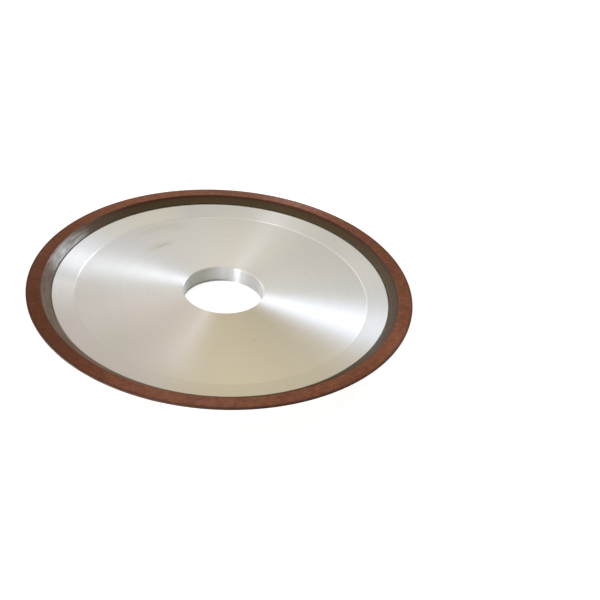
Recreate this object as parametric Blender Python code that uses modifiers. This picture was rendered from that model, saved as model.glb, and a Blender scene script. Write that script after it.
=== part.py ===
"""Diamond grinding wheel of the dish type: 150 mm across, 12 mm high, on a 32 mm bore.

Three turned pieces lie on one axis. An aluminium body carries a keyed seat round its rim. A ring of
bond without diamond fills the seat and its keying groove. The abrasive ring is moulded on top of it.
The wheel stands on the back of its hub at z = 0, and +Z runs along the spindle to the abrasive face.
"""

import math

import bpy

MM = 0.001

# Driving dimensions, in millimetres.
WHEEL_DIAMETER = 150.0
WHEEL_HEIGHT = 12.0
BORE_DIAMETER = 32.0
HUB_THICKNESS = 7.0
FACE_WIDTH = 5.2
EDGE_LAND = 0.75
FLARE_DEGREES = 40.0
ABRASIVE_DEPTH = 2.0

# The bonded seat. Its depths are measured down from the abrasive face.
SEAT_INNER_RADIUS = 66.0
SEAT_INNER_DEPTH = 3.0
SEAT_OUTER_DEPTH = 4.5
KEY_RADIUS = 67.4
KEY_WIDTH = 1.6
KEY_FLOOR_DEPTH = 4.7
BOND_GAP = 0.3

# The turned front of the body.
PLATE_RADIUS = 57.6
PLATE_STEP = 0.15
BORE_CHAMFER = 0.3
EDGE_BREAK = 0.4

SEGMENTS = 96

WHEEL_RADIUS = WHEEL_DIAMETER / 2
BORE_RADIUS = BORE_DIAMETER / 2
FACE_INNER_RADIUS = WHEEL_RADIUS - FACE_WIDTH
FLARE_SLOPE = math.tan(math.radians(FLARE_DEGREES))


def inner_wall_radius(depth):
    """The radius of the straight wall inside the rim, from the abrasive face down to the seat."""
    run = FACE_INNER_RADIUS - SEAT_INNER_RADIUS
    return FACE_INNER_RADIUS - run * depth / SEAT_INNER_DEPTH


def outer_wall_radius(depth):
    """The radius outside the rim: an upright land, then the flare that runs in to the hub."""
    return WHEEL_RADIUS - max(0.0, depth - EDGE_LAND) / FLARE_SLOPE


def at_depth(radius, depth):
    return (radius, WHEEL_HEIGHT - depth)


def body_seat_depth(radius):
    """The depth of the sloping seat at a radius."""
    outer = outer_wall_radius(SEAT_OUTER_DEPTH)
    share = (radius - SEAT_INNER_RADIUS) / (outer - SEAT_INNER_RADIUS)
    return SEAT_INNER_DEPTH + share * (SEAT_OUTER_DEPTH - SEAT_INNER_DEPTH)


def body_profile():
    """The aluminium body, clockwise from the inner end of the seat."""
    key_inner = KEY_RADIUS - KEY_WIDTH / 2
    key_outer = KEY_RADIUS + KEY_WIDTH / 2
    hub_radius = outer_wall_radius(WHEEL_HEIGHT)
    break_depth = WHEEL_HEIGHT - EDGE_BREAK * math.sin(math.radians(FLARE_DEGREES))
    return [
        at_depth(SEAT_INNER_RADIUS, SEAT_INNER_DEPTH),
        at_depth(key_inner, body_seat_depth(key_inner)),
        at_depth(key_inner, KEY_FLOOR_DEPTH),
        at_depth(key_outer, KEY_FLOOR_DEPTH),
        at_depth(key_outer, body_seat_depth(key_outer)),
        at_depth(outer_wall_radius(SEAT_OUTER_DEPTH), SEAT_OUTER_DEPTH),
        at_depth(outer_wall_radius(break_depth), break_depth),
        (hub_radius - EDGE_BREAK, 0.0),
        (BORE_RADIUS + BORE_CHAMFER, 0.0),
        (BORE_RADIUS, BORE_CHAMFER),
        (BORE_RADIUS, HUB_THICKNESS - BORE_CHAMFER),
        (BORE_RADIUS + BORE_CHAMFER, HUB_THICKNESS),
        (PLATE_RADIUS, HUB_THICKNESS),
        (PLATE_RADIUS + PLATE_STEP, HUB_THICKNESS + PLATE_STEP),
    ]


def bond_base_profile():
    """The ring of plain bond, a gap above the seat, with a rib that hangs into the keying groove."""
    floor_rise = BOND_GAP
    rib_inner = KEY_RADIUS - KEY_WIDTH / 2 + BOND_GAP
    rib_outer = KEY_RADIUS + KEY_WIDTH / 2 - BOND_GAP
    inner_depth = SEAT_INNER_DEPTH - floor_rise
    outer_depth = SEAT_OUTER_DEPTH - floor_rise
    top = ABRASIVE_DEPTH + BOND_GAP / 2
    return [
        at_depth(inner_wall_radius(top), top),
        at_depth(outer_wall_radius(top), top),
        at_depth(outer_wall_radius(outer_depth), outer_depth),
        at_depth(rib_outer, body_seat_depth(rib_outer) - floor_rise),
        at_depth(rib_outer, KEY_FLOOR_DEPTH - floor_rise),
        at_depth(rib_inner, KEY_FLOOR_DEPTH - floor_rise),
        at_depth(rib_inner, body_seat_depth(rib_inner) - floor_rise),
        at_depth(inner_wall_radius(inner_depth), inner_depth),
    ]


def abrasive_profile():
    """The diamond layer: the flat face, the land and both sloping walls."""
    bottom = ABRASIVE_DEPTH - BOND_GAP / 2
    return [
        at_depth(FACE_INNER_RADIUS, 0.0),
        at_depth(WHEEL_RADIUS, 0.0),
        at_depth(WHEEL_RADIUS, EDGE_LAND),
        at_depth(outer_wall_radius(bottom), bottom),
        at_depth(inner_wall_radius(bottom), bottom),
    ]


def material(name, color, roughness, metallic):
    made = bpy.data.materials.new(name)
    made.use_nodes = True
    shader = made.node_tree.nodes["Principled BSDF"]
    shader.inputs["Base Color"].default_value = (*color, 1.0)
    shader.inputs["Roughness"].default_value = roughness
    shader.inputs["Metallic"].default_value = metallic
    return made


def turned(name, profile, finish, axis, collection):
    """A solid of revolution from a closed outline of (radius, height) points in millimetres."""
    count = len(profile)
    points = [(radius * MM, 0.0, height * MM) for radius, height in profile]
    edges = [(i, (i + 1) % count) for i in range(count)]
    mesh = bpy.data.meshes.new(name)
    mesh.from_pydata(points, edges, [])
    mesh.materials.append(finish)
    piece = bpy.data.objects.new(name, mesh)
    collection.objects.link(piece)
    piece.parent = axis
    screw = piece.modifiers.new("Turn", "SCREW")
    screw.axis = "Z"
    screw.angle = math.tau
    screw.steps = SEGMENTS
    screw.render_steps = SEGMENTS
    screw.use_merge_vertices = True
    screw.merge_threshold = 0.00001
    screw.use_smooth_shade = False
    return piece


def main():
    for old in list(bpy.data.objects):
        bpy.data.objects.remove(old, do_unlink=True)
    collection = bpy.data.collections.new("diamond_grinding_wheel")
    bpy.context.scene.collection.children.link(collection)
    axis = bpy.data.objects.new("spindle_axis", None)
    collection.objects.link(axis)
    aluminium = material("turned_aluminium", (0.80, 0.79, 0.77), 0.34, 1.0)
    plain_bond = material("plain_resin_bond", (0.13, 0.09, 0.06), 0.40, 0.0)
    diamond_bond = material("diamond_resin_bond", (0.20, 0.08, 0.04), 0.60, 0.0)
    turned("aluminium_body", body_profile(), aluminium, axis, collection)
    turned("bond_base_ring", bond_base_profile(), plain_bond, axis, collection)
    turned("diamond_abrasive_ring", abrasive_profile(), diamond_bond, axis, collection)


main()
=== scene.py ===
"""Visual model of a dish-type diamond grinding wheel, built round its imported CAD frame.

Lengths are in millimetres, and MM turns them into metres where a mesh is made. A radius is measured from
the spindle axis (+Z), a height from the hub's back face, and a depth down from the abrasive face.
"""

from math import cos, log, pi, radians, sin, tan

import bpy
from mathutils import Euler, Matrix, Vector


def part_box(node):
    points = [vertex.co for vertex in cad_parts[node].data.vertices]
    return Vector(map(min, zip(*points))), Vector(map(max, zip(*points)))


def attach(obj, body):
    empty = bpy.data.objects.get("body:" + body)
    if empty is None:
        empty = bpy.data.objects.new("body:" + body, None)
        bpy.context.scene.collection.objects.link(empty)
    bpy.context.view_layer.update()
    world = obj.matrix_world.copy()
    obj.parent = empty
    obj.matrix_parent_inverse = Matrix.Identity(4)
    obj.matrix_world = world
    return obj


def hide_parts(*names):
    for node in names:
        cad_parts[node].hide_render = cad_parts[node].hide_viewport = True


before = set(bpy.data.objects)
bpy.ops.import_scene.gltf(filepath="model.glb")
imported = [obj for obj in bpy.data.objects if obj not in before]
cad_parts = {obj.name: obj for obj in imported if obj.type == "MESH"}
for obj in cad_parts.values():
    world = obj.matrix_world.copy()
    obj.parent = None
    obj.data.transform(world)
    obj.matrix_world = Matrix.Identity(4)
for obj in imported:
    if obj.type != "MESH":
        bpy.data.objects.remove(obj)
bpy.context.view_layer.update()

MM = 0.001
SEGMENTS = 512
HOLD = 0.04  # distance of the ring that keeps a flat face flat beside a rounded edge
ARC_POINTS = 4

# Sizes of the wheel: the CAD frame gives the outer ones, and the rest repeat the CAD's own dimensions.
WHEEL_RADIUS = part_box("diamond_abrasive_ring")[1].x / MM
WHEEL_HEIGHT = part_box("diamond_abrasive_ring")[1].z / MM
BORE_RADIUS = 16
BORE_CHAMFER = 0.3
HUB_THICKNESS = 7
PLATE_RADIUS = 57.6
PLATE_STEP = 0.15
FACE_WIDTH = 5.2
EDGE_LAND = 0.75
EDGE_BREAK = 0.4
FLARE = radians(40)
ABRASIVE_DEPTH = 2
SEAT_INNER_RADIUS = 66
SEAT_INNER_DEPTH = 3
SEAT_OUTER_DEPTH = 4.5
KEY_RADIUS = 67.4
KEY_WIDTH = 1.6
KEY_FLOOR_DEPTH = 4.7
SEAM = 0.2  # dark line at the foot of the bond, where the CAD keeps a gap of 0.3
LAYER_GAP = 0.02  # hairline between the two layers of the bond
FACE_CHAMFER = 0.3

# Facing marks: shallow grooves that the last cut left round the bore.
FACING_INNER_RADIUS = 17
FACING_OUTER_RADIUS = 33
FACING_PITCH = 1.0
FACING_DEPTH = 0.006
FACING_STEPS = 4  # points in one pitch


# ------------------------------------------------------------------ outlines and meshes


def inner_wall_radius(depth):
    """Radius of the sloping wall inside the rim."""
    face_inner_radius = WHEEL_RADIUS - FACE_WIDTH
    slope = (face_inner_radius - SEAT_INNER_RADIUS) / SEAT_INNER_DEPTH
    return face_inner_radius - slope * depth


def outer_wall_radius(depth):
    """Radius of the rim's outside: a short land, then the flare."""
    return WHEEL_RADIUS - max(0, depth - EDGE_LAND) / tan(FLARE)


def seat_depth(radius):
    """Depth of the sloping seat that the bond sits on."""
    width = outer_wall_radius(SEAT_OUTER_DEPTH) - SEAT_INNER_RADIUS
    drop = SEAT_OUTER_DEPTH - SEAT_INNER_DEPTH
    return SEAT_INNER_DEPTH + drop * (radius - SEAT_INNER_RADIUS) / width


def at_depth(radius, depth, rounding=0.0):
    """A corner given by its depth below the abrasive face."""
    return (radius, WHEEL_HEIGHT - depth, rounding)


def rounded(corners):
    """The closed outline through (radius, height, rounding) corners: a rounded one becomes a short arc."""
    points = []
    for index, (radius, height, rounding) in enumerate(corners):
        corner = Vector((radius, height))
        if not rounding:
            points.append(corner)
            continue
        before = (Vector(corners[index - 1][:2]) - corner).normalized()
        after = (Vector(corners[(index + 1) % len(corners)][:2]) - corner).normalized()
        start, end = corner + before * rounding, corner + after * rounding
        points.append(start + before * HOLD)
        for step in range(ARC_POINTS + 1):
            t = step / ARC_POINTS
            points.append(start * (1 - t) ** 2 + corner * 2 * t * (1 - t) + end * t**2)
        points.append(end + after * HOLD)
    return points


def lathe(name, corners, node, material):
    """A ring turned from corners that run counter-clockwise, seen with the radius to the right."""
    outline = rounded(corners)
    count = len(outline)
    vertices = []
    faces = []
    for segment in range(SEGMENTS):
        angle = 2 * pi * segment / SEGMENTS
        vertices += [(r * MM * cos(angle), r * MM * sin(angle), z * MM) for r, z in outline]
        here, there = segment * count, (segment + 1) % SEGMENTS * count
        for index in range(count):
            after = (index + 1) % count
            faces.append((here + index, there + index, there + after, here + after))
    mesh = bpy.data.meshes.new(name)
    mesh.from_pydata(vertices, [], faces)
    mesh.shade_smooth()
    mesh.materials.append(material)
    piece = bpy.data.objects.new(name, mesh)
    bpy.context.scene.collection.objects.link(piece)
    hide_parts(node)
    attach(piece, "root")
    return piece


def facing_marks():
    """Corners of the plate round the bore, from outside in: grooves that deepen towards the bore."""
    width = FACING_OUTER_RADIUS - FACING_INNER_RADIUS
    steps = round(width / FACING_PITCH * FACING_STEPS)
    for step in range(steps + 1):
        radius = FACING_OUTER_RADIUS - width * step / steps
        groove = 0.5 - 0.5 * cos(2 * pi * (radius - FACING_INNER_RADIUS) / FACING_PITCH)
        yield (radius, HUB_THICKNESS - FACING_DEPTH * groove * step / steps, 0.0)


def make_body(material):
    """Aluminium body: bore, plate, conical band, keyed seat and flared back."""
    top = HUB_THICKNESS
    bore_mouth = BORE_RADIUS + BORE_CHAMFER
    hub_radius = outer_wall_radius(WHEEL_HEIGHT)
    seat_edge = outer_wall_radius(SEAT_OUTER_DEPTH)
    groove_inner = KEY_RADIUS - KEY_WIDTH / 2
    groove_outer = KEY_RADIUS + KEY_WIDTH / 2
    corners = [
        (bore_mouth, 0, 0.05),
        (hub_radius - EDGE_BREAK, 0, 0.12),
        (hub_radius + EDGE_BREAK * cos(FLARE), EDGE_BREAK * sin(FLARE), 0.12),
        at_depth(seat_edge, SEAT_OUTER_DEPTH, 0.1),
        at_depth(groove_outer, seat_depth(groove_outer)),
        at_depth(groove_outer, KEY_FLOOR_DEPTH),
        at_depth(groove_inner, KEY_FLOOR_DEPTH),
        at_depth(groove_inner, seat_depth(groove_inner)),
        at_depth(SEAT_INNER_RADIUS, SEAT_INNER_DEPTH, 0.1),
        (PLATE_RADIUS + PLATE_STEP, top + PLATE_STEP, 0.05),
        (PLATE_RADIUS, top, 0.05),
        *facing_marks(),
        (bore_mouth, top, 0.04),
        (BORE_RADIUS, top - BORE_CHAMFER, 0.04),
        (BORE_RADIUS, BORE_CHAMFER, 0.05),
    ]
    return lathe("turned_body", corners, "aluminium_body", material)


def make_base_ring(material):
    """Plain resin bond between the body and the diamond layer, with the rib that keys it to the body."""
    depth = ABRASIVE_DEPTH + LAYER_GAP / 2
    rib_inner = KEY_RADIUS - KEY_WIDTH / 2 + SEAM
    rib_outer = KEY_RADIUS + KEY_WIDTH / 2 - SEAM
    inner_bottom, outer_bottom = SEAT_INNER_DEPTH - SEAM, SEAT_OUTER_DEPTH - SEAM
    corners = [
        at_depth(inner_wall_radius(inner_bottom), inner_bottom, 0.04),
        at_depth(rib_inner, seat_depth(rib_inner) - SEAM),
        at_depth(rib_inner, KEY_FLOOR_DEPTH - SEAM),
        at_depth(rib_outer, KEY_FLOOR_DEPTH - SEAM),
        at_depth(rib_outer, seat_depth(rib_outer) - SEAM),
        at_depth(outer_wall_radius(outer_bottom), outer_bottom, 0.04),
        at_depth(outer_wall_radius(depth), depth, 0.03),
        at_depth(inner_wall_radius(depth), depth, 0.03),
    ]
    return lathe("bond_base", corners, "bond_base_ring", material)


def make_abrasive_ring(material):
    """Diamond layer: the flat grinding face, a short land outside it, and the upper part of both walls."""
    depth = ABRASIVE_DEPTH - LAYER_GAP / 2
    corners = [
        at_depth(inner_wall_radius(depth), depth, 0.03),
        at_depth(outer_wall_radius(depth), depth, 0.03),
        at_depth(WHEEL_RADIUS, EDGE_LAND, 0.1),
        at_depth(WHEEL_RADIUS, FACE_CHAMFER, 0.1),
        at_depth(WHEEL_RADIUS - FACE_CHAMFER, 0, 0.1),
        at_depth(inner_wall_radius(0), 0, 0.15),
    ]
    return lathe("diamond_layer", corners, "diamond_abrasive_ring", material)


# ------------------------------------------------------------------ materials

WHITE = (1, 1, 1, 1)
SEAM_SHADE = (0.05, 0.035, 0.025, 1)  # painted shade in the seam at the foot of the bond
CONE_LIGHT_AND_SHADE = (  # painted light and shade on the conical band: azimuth, core and edge of a sector, and its colour
    (137, 8, 28, (0.97, 0.965, 0.97, 1)),
    (194, 6, 20, WHITE),
    (176, 5, 15, (0.78, 0.765, 0.745, 1)),
)
SMUDGES = ((139, 41, 9, 3.5), (122, 50, 7, 2.0), (129, 53.5, 16, 4))  # as for Shader.patch


class Shader:
    """A material's nodes, made one call at a time.

    Lengths are in millimetres. An azimuth is in degrees, from +X towards +Y.
    """

    def __init__(self, name, **constants):
        self.material = bpy.data.materials.new(name)
        self.material.use_nodes = True
        self.tree = self.material.node_tree
        self.surface = self.tree.nodes["Principled BSDF"]
        for socket, value in constants.items():
            self.surface.inputs[socket.replace("_", " ")].default_value = value
        coordinates = self.node("TexCoord")
        self.place = self.vector("SCALE", coordinates.outputs["Object"], scale=1 / MM)
        facing = self.node("SeparateXYZ", links=[coordinates.outputs["Normal"]]).outputs["Z"]
        self.front = self.remap(facing, 0.0, 0.2)  # 1 where the surface faces up
        flat = self.vector("MULTIPLY", self.place, (1, 1, 0))
        self.radius = self.node("VectorMath", operation="LENGTH", links=[flat]).outputs["Value"]
        self.direction = self.vector("NORMALIZE", flat)
        self.height = self.node("SeparateXYZ", links=[self.place]).outputs["Z"]
        # Distance along the outline: out across the plate, or up the bore.
        self.along = self.math("ADD", self.radius, self.math("SUBTRACT", self.height, HUB_THICKNESS))

    def node(self, kind, links=(), **settings):
        made = self.tree.nodes.new("ShaderNode" + kind)
        for name, value in settings.items():
            setattr(made, name, value)
        for socket, value in zip(made.inputs, links):
            self.feed(socket, value)
        return made

    def feed(self, socket, value):
        if isinstance(value, bpy.types.NodeSocket):
            self.tree.links.new(value, socket)
        elif value is not None:
            socket.default_value = value

    def vector(self, operation, first, second=None, scale=None):
        made = self.node("VectorMath", operation=operation, links=[first, second])
        if scale is not None:
            self.feed(made.inputs["Scale"], scale)
        return made.outputs["Vector"]

    def math(self, operation, *values):
        return self.node("Math", operation=operation, links=values).outputs["Value"]

    def remap(self, value, low, high, to_low=0.0, to_high=1.0, smooth=False):
        made = self.node("MapRange", links=[value, low, high, to_low, to_high])
        made.interpolation_type = "SMOOTHSTEP" if smooth else "LINEAR"
        return made.outputs["Result"]

    def mix(self, factor, first, second, blend="MIX"):
        made = self.node("Mix", data_type="RGBA", blend_type=blend)
        self.feed(made.inputs[0], factor)
        self.feed(made.inputs[6], first)  # 6, 7 and output 2 are the colour sockets
        self.feed(made.inputs[7], second)
        return made.outputs[2]

    def rings(self, per_mm, detail=2.0, seed=0.0):
        """Noise that changes only along the outline, as turning marks do."""
        made = self.node("TexNoise", noise_dimensions="1D")
        self.feed(made.inputs["W"], self.math("MULTIPLY_ADD", self.along, per_mm, seed))
        made.inputs["Scale"].default_value = 1.0
        made.inputs["Detail"].default_value = detail
        return made.outputs["Fac"]

    def arcs(self, per_mm, round_the_axis, detail=2.0, seed=0.0):
        """Noise drawn out along circles: per_mm across them, and round_the_axis along them."""
        across = self.node("CombineXYZ")
        self.feed(across.inputs["Z"], self.math("MULTIPLY_ADD", self.along, per_mm, seed))
        circle = self.vector("SCALE", self.direction, scale=round_the_axis)
        made = self.node("TexNoise")
        self.feed(made.inputs["Vector"], self.vector("ADD", circle, across.outputs["Vector"]))
        made.inputs["Scale"].default_value = 1.0
        made.inputs["Detail"].default_value = detail
        return made.outputs["Fac"]

    def grain(self, per_mm, detail=2.0, roughness=0.5):
        """Noise that is even in all directions."""
        made = self.node("TexNoise")
        self.feed(made.inputs["Vector"], self.place)
        made.inputs["Scale"].default_value = per_mm
        made.inputs["Detail"].default_value = detail
        made.inputs["Roughness"].default_value = roughness
        return made.outputs["Fac"]

    def patch(self, azimuth, radius, half_length, half_width):
        """Soft mark on the plate, drawn out along a circle: 1 in its middle and 0 outside it."""
        turn = radians(azimuth)
        centre = (radius * cos(turn), radius * sin(turn), HUB_THICKNESS)
        away = self.node("VectorMath", operation="DISTANCE", links=[self.place, centre])
        along = self.math("DIVIDE", away.outputs["Value"], half_length)
        across = self.math("DIVIDE", self.math("SUBTRACT", self.radius, radius), half_width)
        reach = self.math("MULTIPLY_ADD", across, across, self.math("MULTIPLY", along, along))
        return self.remap(reach, 0.0, 1.0, 1.0, 0.0, smooth=True)

    def sector(self, azimuth, core, edge):
        """1 within core degrees of an azimuth on the wheel, falling to 0 at edge degrees."""
        turn = radians(azimuth)
        aim = (cos(turn), sin(turn), 0)
        nearness = self.node("VectorMath", operation="DOT_PRODUCT", links=[self.direction, aim])
        low, high = cos(radians(edge)), cos(radians(core))
        return self.remap(nearness.outputs["Value"], low, high, smooth=True)

    def wall_sheen(self, colour):
        """Painted sheen on a wall: lighter and streaky on one side, and a bright patch that is a painted
        highlight.
        """
        sheen_streaks = self.remap(self.arcs(0.9, 11, detail=4, seed=5), 0.35, 0.65)
        # painted sheen: the wall lighter and streaky on its front left
        side_sheen = self.math("MULTIPLY_ADD", sheen_streaks, 0.5, 0.5)
        side_sheen = self.math("MULTIPLY", side_sheen, self.sector(210, core=18, edge=78))
        colour = self.mix(side_sheen, colour, (0.23, 0.165, 0.125, 1))
        # painted highlight: a bright patch where the key light's streak falls
        bright = self.math("MULTIPLY_ADD", sheen_streaks, 0.7, 0.3)
        bright = self.math("MULTIPLY", bright, self.sector(171, core=1, edge=16))
        low = self.remap(self.height, WHEEL_HEIGHT - 1.5, WHEEL_HEIGHT - 0.3, 1.0, 0.4)
        return self.mix(self.math("MULTIPLY", bright, low), colour, (0.62, 0.62, 0.62, 1))

    def resin_roughness(self, noise):
        """The bond's smooth skin, duller in front."""
        skin = self.remap(noise, 0.3, 0.7, 0.24, 0.32)
        return self.math("MULTIPLY_ADD", self.sector(262, core=25, edge=75), 0.3, skin)

    def lay(self, along_circles=0.0):
        """Spread reflections across the marks that run round the axis, or along them where a mask is 1."""
        circle = self.node("Tangent", direction_type="RADIAL", axis="Z").outputs["Tangent"]
        normal = self.node("NewGeometry").outputs["Normal"]
        across = self.vector("CROSS_PRODUCT", normal, circle)
        if along_circles:
            blend = self.node("Mix", data_type="VECTOR", links=[along_circles])
            self.feed(blend.inputs[4], across)  # 4, 5 and output 1 are the vector sockets
            self.feed(blend.inputs[5], circle)
            across = blend.outputs[1]
        self.feed(self.surface.inputs["Tangent"], across)

    def relief(self, height, depth):
        """Bump of that depth, in millimetres, where height runs from 0 to 1."""
        made = self.node("Bump")
        made.inputs["Strength"].default_value = 1.0
        made.inputs["Distance"].default_value = depth * MM
        self.feed(made.inputs["Height"], height)
        self.feed(self.surface.inputs["Normal"], made.outputs["Normal"])

    def finish(self, colour, roughness):
        self.feed(self.surface.inputs["Base Color"], colour)
        self.feed(self.surface.inputs["Roughness"], roughness)
        return self.material


def metal_tone(shader, on_cone):
    """Bare metal with faint clouds and tinted sectors; painted light and shade on the conical band and a
    painted highlight on its step; a painted warm reflection in front; the outer plate darker near azimuth
    211.
    """
    clouds = shader.arcs(0.06, 1.6, detail=3, seed=9)
    inner = shader.remap(shader.radius, 18, 56, 1.0, 0.0)
    metal = shader.mix(inner, (0.84, 0.84, 0.835, 1), (0.96, 0.96, 0.955, 1))
    pink = shader.mix(inner, (0.86, 0.815, 0.805, 1), (0.94, 0.895, 0.88, 1))
    warm_reflection = shader.mix(inner, (0.86, 0.80, 0.67, 1), (0.76, 0.70, 0.59, 1))
    cool = shader.mix(inner, (0.85, 0.86, 0.91, 1), (0.955, 0.965, 1, 1))
    tone = shader.mix(shader.math("MULTIPLY", clouds, 0.10), metal, (0.64, 0.64, 0.62, 1))
    tone = shader.mix(shader.sector(132, core=18, edge=36), tone, cool)
    # painted light and shade: sectors of the conical band made lighter or darker
    for azimuth, core, edge, colour in CONE_LIGHT_AND_SHADE:
        stretch = shader.math("MULTIPLY", on_cone, shader.sector(azimuth, core, edge))
        tone = shader.mix(stretch, tone, colour)
    # painted highlight: a bright line along the step at the plate's edge, on faces that look up
    off_step = shader.math("ABSOLUTE", shader.math("SUBTRACT", shader.radius, PLATE_RADIUS))
    step = shader.math("MULTIPLY", shader.remap(off_step, 0.1, 0.4, 0.8, 0.0), shader.front)
    tone = shader.mix(step, tone, WHITE)
    tone = shader.mix(shader.sector(235, core=15, edge=45), tone, pink)
    # painted reflection: a warm gold tint on the front of the plate
    tone = shader.mix(shader.sector(296, core=17, edge=44), tone, warm_reflection)
    # the outer plate made darker in a sector round azimuth 211
    outer_plate = shader.math("SUBTRACT", shader.remap(shader.radius, 38, 56), on_cone)
    outer_darkening = shader.math("MULTIPLY", outer_plate, shader.sector(211, core=8, edge=36))
    return shader.mix(outer_darkening, tone, (0.81, 0.785, 0.77, 1))


def with_marks(shader, tone, streaks):
    """What handling left on the plate: smudges, a scratch and a nick."""
    smudge = 0.0
    for place in SMUDGES:
        smudge = shader.math("MAXIMUM", smudge, shader.patch(*place))
    smudge = shader.math("MULTIPLY", smudge, shader.remap(streaks, 0.35, 0.6, 0.2, 0.5))
    tone = shader.mix(smudge, tone, (0.74, 0.76, 0.69, 1))
    scratch = shader.math("MULTIPLY", shader.patch(138, 40.5, 4.5, 0.6), 0.35)
    nick = shader.math("MULTIPLY", shader.patch(297, 34.5, 0.9, 0.35), 0.6)
    return shader.mix(shader.math("MAXIMUM", scratch, nick), tone, (0.45, 0.43, 0.36, 1))


def with_bore(shader, tone):
    """A bore wall brightened towards white, which is painted light, with painted shade on its rear left that
    is darker at the foot.
    """
    in_bore = shader.remap(shader.radius, BORE_RADIUS, BORE_RADIUS + BORE_CHAMFER, 1.0, 0.0)
    # painted light: the bore wall brightened towards white
    tone = shader.mix(in_bore, tone, WHITE)
    # painted shade on the rear left of the bore wall
    bore_shade = shader.math("MULTIPLY", in_bore, shader.sector(152, core=12, edge=40))
    tone = shader.mix(bore_shade, tone, (0.77, 0.77, 0.72, 1))
    # painted shadow at the foot of the bore wall, where it meets the floor
    foot = shader.math("MULTIPLY", in_bore, shader.sector(136, core=26, edge=54))
    foot = shader.math("MULTIPLY", foot, shader.remap(shader.height, 0.4, 1.6, 0.75, 0.0))
    return shader.mix(foot, tone, (0.28, 0.26, 0.22, 1))


def turned_aluminium():
    """The body's metal. Its turning marks draw reflections out into long streaks."""
    shader = Shader("turned_aluminium", Metallic=1.0, Anisotropic=0.94)
    shader.lay()
    coarse, fine = shader.rings(0.35, detail=3), shader.rings(1.9, detail=2, seed=40)
    streaks = shader.arcs(1.7, 3.0, detail=4)
    on_cone = shader.remap(shader.radius, PLATE_RADIUS - 0.2, PLATE_RADIUS + 0.2)
    on_cone = shader.math("MULTIPLY", on_cone, shader.front)
    tone = metal_tone(shader, on_cone)
    tone = with_marks(shader, tone, streaks)
    tone = with_bore(shader, tone)

    near_bore = shader.remap(shader.radius, 17, 40, 1.0, 0.35, smooth=True)
    lines = shader.math("MULTIPLY", shader.math("SUBTRACT", fine, 0.5), near_bore)
    shade = shader.math("MULTIPLY_ADD", lines, 0.12, 1.0)
    shade = shader.math("MULTIPLY_ADD", shader.math("SUBTRACT", streaks, 0.5), 0.10, shade)
    shade = shader.math("MULTIPLY_ADD", shader.math("SUBTRACT", coarse, 0.5), 0.03, shade)
    tinted = shader.mix(1.0, tone, shade, blend="MULTIPLY")
    roughness = shader.remap(streaks, 0.3, 0.7, -0.02, 0.02)
    roughness = shader.math("ADD", roughness, shader.remap(on_cone, 0.0, 1.0, 0.40, 0.45))
    shader.relief(fine, 0.0012)
    # painted shade: the seam at the foot of the bond is blackened, except in front
    seat_height = WHEEL_HEIGHT - SEAT_INNER_DEPTH
    seam = shader.remap(shader.height, seat_height - 0.08, seat_height - 0.03)
    away_from_front = shader.math("SUBTRACT", 1.0, shader.sector(265, core=30, edge=60))
    tinted = shader.mix(shader.math("MULTIPLY", seam, away_from_front), tinted, SEAM_SHADE)
    return shader.finish(tinted, roughness)


def plain_bond():
    """Olive-brown resin without diamond, with fine lines round it."""
    shader = Shader("plain_bond", Anisotropic=0.9, IOR=1.35)
    shader.lay()
    mottle, fine = shader.grain(0.9, 3), shader.rings(6, detail=1)
    colour = shader.mix(mottle, (0.052, 0.032, 0.012, 1), (0.088, 0.056, 0.023, 1))
    shader.relief(fine, 0.003)
    return shader.finish(shader.wall_sheen(colour), shader.resin_roughness(fine))


def diamond_bond():
    """The ground face is paler, with a metal filler that shines; the walls keep a dark, smoother skin."""
    shader = Shader("diamond_bond", Anisotropic=1.0, IOR=1.35)
    ground = shader.remap(shader.height, WHEEL_HEIGHT - 0.25, WHEEL_HEIGHT - 0.10)
    shader.lay(along_circles=ground)
    mottle, grit = shader.grain(0.55, 4, 0.65), shader.grain(7, 1)
    worn = shader.remap(shader.arcs(0.9, 5, detail=4, seed=3), 0.3, 0.7)

    face = shader.mix(shader.remap(mottle, 0.35, 0.65), (0.185, 0.059, 0.036, 1), (0.315, 0.113, 0.048, 1))
    face = shader.mix(shader.math("MULTIPLY", worn, 0.35), face, (0.24, 0.11, 0.07, 1))
    spots = shader.remap(grit, 0.62, 0.72, 0.0, 0.3)
    face = shader.mix(spots, face, (0.36, 0.22, 0.15, 1))
    # painted shade: the face darker on its left side
    shaded_side = shader.math("MULTIPLY", shader.sector(198, core=22, edge=58), 0.55)
    face = shader.mix(shaded_side, face, (0.112, 0.036, 0.020, 1))
    # painted shade: a dark band along the face's outer edge
    outer_edge_shade = shader.remap(shader.radius, WHEEL_RADIUS - 1.2, WHEEL_RADIUS - 0.1, 0.0, 0.5, smooth=True)
    face = shader.mix(outer_edge_shade, face, (0.045, 0.022, 0.012, 1))

    low = shader.remap(shader.height, WHEEL_HEIGHT - 1.4, WHEEL_HEIGHT - 0.4, 1.0, 0.0)
    wall = shader.mix(low, (0.050, 0.011, 0.003, 1), (0.062, 0.038, 0.017, 1))
    wall = shader.mix(shader.math("MULTIPLY", mottle, 0.3), wall, (0.070, 0.040, 0.020, 1))
    wall = shader.wall_sheen(wall)
    roughness = shader.math("MULTIPLY_ADD", ground, 0.2, shader.resin_roughness(grit))
    shader.feed(shader.surface.inputs["Metallic"], shader.math("MULTIPLY", ground, 0.5))
    shader.relief(grit, 0.010)
    return shader.finish(shader.mix(ground, wall, face), roughness)


# ------------------------------------------------------------------ studio

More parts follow.
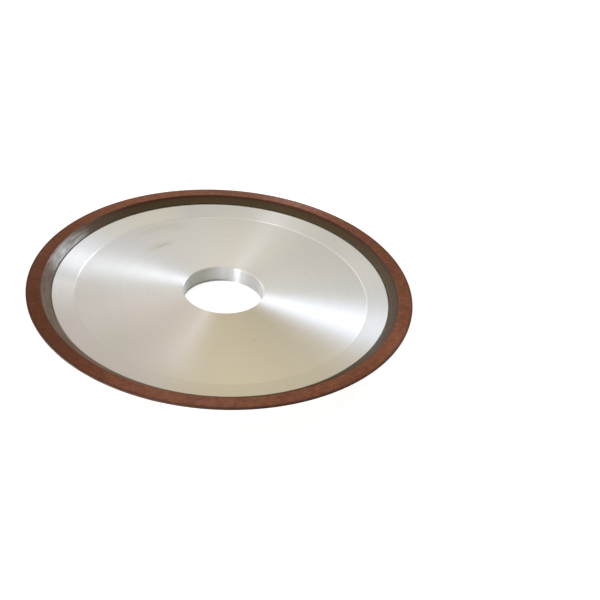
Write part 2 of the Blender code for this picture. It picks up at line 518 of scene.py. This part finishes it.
COOL, NEUTRAL, WARM = (0.9, 1.0, 1.2), (1.0, 1.0, 1.0), (1.08, 1.0, 0.82)
ROOM_LIGHT = 0.36
WINDOWS = (  # azimuth, elevation, half width (all in degrees), strength and tint
    (35, 30, 6, 9.8, COOL),  # key, behind on the right: draws the bright streak
    (35, 30, 18, 0.55, COOL),  # haze round the key
    (0, 60, 12, 1.1, WARM),  # high behind
    (300, 5, 30, 1.22, NEUTRAL),  # wide and low on the left
    (220, 5, 25, 2.2, NEUTRAL),  # fill, in front on the left
    (208, 16, 4, 21.5, COOL),  # small, above the fill: the upright glint in the bore
    (170, 5, 12, 2.6, COOL),  # in front
)


def direction(azimuth, elevation):
    """Unit vector. Azimuth 0 is behind the wheel (+Y) and 90 on its right (+X)."""
    across, up = radians(azimuth), radians(elevation)
    return (sin(across) * cos(up), cos(across) * cos(up), sin(up))


def soft_window(tree, coordinates, azimuth, elevation, half_width):
    """Socket that is 1 in the middle of a round window, and falls to a half at half_width degrees from it."""
    tightness = log(2) / (1 - cos(radians(half_width)))
    aim = tree.nodes.new("ShaderNodeVectorMath")
    aim.operation = "DOT_PRODUCT"
    aim.inputs[1].default_value = direction(azimuth, elevation)
    tree.links.new(coordinates, aim.inputs[0])
    exponent = tree.nodes.new("ShaderNodeMath")
    exponent.operation = "MULTIPLY_ADD"
    exponent.inputs[1].default_value = tightness
    exponent.inputs[2].default_value = -tightness
    tree.links.new(aim.outputs["Value"], exponent.inputs[0])
    fall = tree.nodes.new("ShaderNodeMath")
    fall.operation = "EXPONENT"
    tree.links.new(exponent.outputs["Value"], fall.inputs[0])
    return fall.outputs["Value"]


def make_studio():
    """A dim room with soft windows of light. The camera sees a plain white backdrop in place of them."""
    world = bpy.data.worlds.new("studio")
    world.use_nodes = True
    tree = world.node_tree
    coordinates = tree.nodes.new("ShaderNodeTexCoord").outputs["Generated"]
    total = tuple(ROOM_LIGHT * part for part in WARM)
    for azimuth, elevation, half_width, strength, tint in WINDOWS:
        lit = tree.nodes.new("ShaderNodeVectorMath")
        lit.operation = "MULTIPLY_ADD"
        lit.inputs[1].default_value = [strength * part for part in tint]
        tree.links.new(soft_window(tree, coordinates, azimuth, elevation, half_width), lit.inputs[0])
        if isinstance(total, tuple):
            lit.inputs[2].default_value = total
        else:
            tree.links.new(total, lit.inputs[2])
        total = lit.outputs["Vector"]
    seen = tree.nodes.new("ShaderNodeMix")
    seen.data_type = "RGBA"
    seen.inputs[7].default_value = WHITE
    tree.links.new(tree.nodes.new("ShaderNodeLightPath").outputs["Is Camera Ray"], seen.inputs[0])
    tree.links.new(total, seen.inputs[6])
    tree.links.new(seen.outputs[2], tree.nodes["Background"].inputs["Color"])
    bpy.context.scene.world = world


def make_floor(albedo, glow, extra_glow):
    """A pale light table. The extra glow is for the camera alone, and doesn't light the wheel."""
    side, level = 3.0, -0.02 * MM
    mesh = bpy.data.meshes.new("floor")
    corners = [(-side, -side, level), (side, -side, level), (side, side, level), (-side, side, level)]
    mesh.from_pydata(corners, [], [(0, 1, 2, 3)])
    material = bpy.data.materials.new("pale_floor")
    material.use_nodes = True
    tree = material.node_tree
    surface = tree.nodes["Principled BSDF"]
    surface.inputs["Base Color"].default_value = (albedo, albedo, albedo, 1)
    surface.inputs["Roughness"].default_value = 0.9
    surface.inputs["Specular IOR Level"].default_value = 0.0
    surface.inputs["Emission Color"].default_value = WHITE
    strength = tree.nodes.new("ShaderNodeMath")
    strength.operation = "MULTIPLY_ADD"
    strength.inputs[1].default_value = extra_glow
    strength.inputs[2].default_value = glow
    tree.links.new(tree.nodes.new("ShaderNodeLightPath").outputs["Is Camera Ray"], strength.inputs[0])
    tree.links.new(strength.outputs["Value"], surface.inputs["Emission Strength"])
    mesh.materials.append(material)
    floor = bpy.data.objects.new("floor", mesh)
    bpy.context.scene.collection.objects.link(floor)


def make_camera():
    """A 50 mm lens on a 36 mm square frame, looking down at the wheel and rolled a little."""
    data = bpy.data.cameras.new("camera")
    data.lens = 50
    data.sensor_width = 36
    data.clip_start = 0.01
    camera = bpy.data.objects.new("camera", data)
    bpy.context.scene.collection.objects.link(camera)
    down, roll = radians(34.789), radians(6.845)
    turn = Euler((pi / 2 - down, 0, 0)).to_matrix() @ Matrix.Rotation(roll, 3, "Z")
    camera.location = (0.03073, -0.27331, 0.19605)  # in metres
    camera.rotation_euler = turn.to_euler()
    bpy.context.scene.camera = camera


make_body(turned_aluminium())
make_base_ring(plain_bond())
make_abrasive_ring(diamond_bond())
make_floor(albedo=0.6, glow=0.1, extra_glow=0.65)
make_studio()
make_camera()
bpy.context.scene.view_settings.view_transform = "Standard"
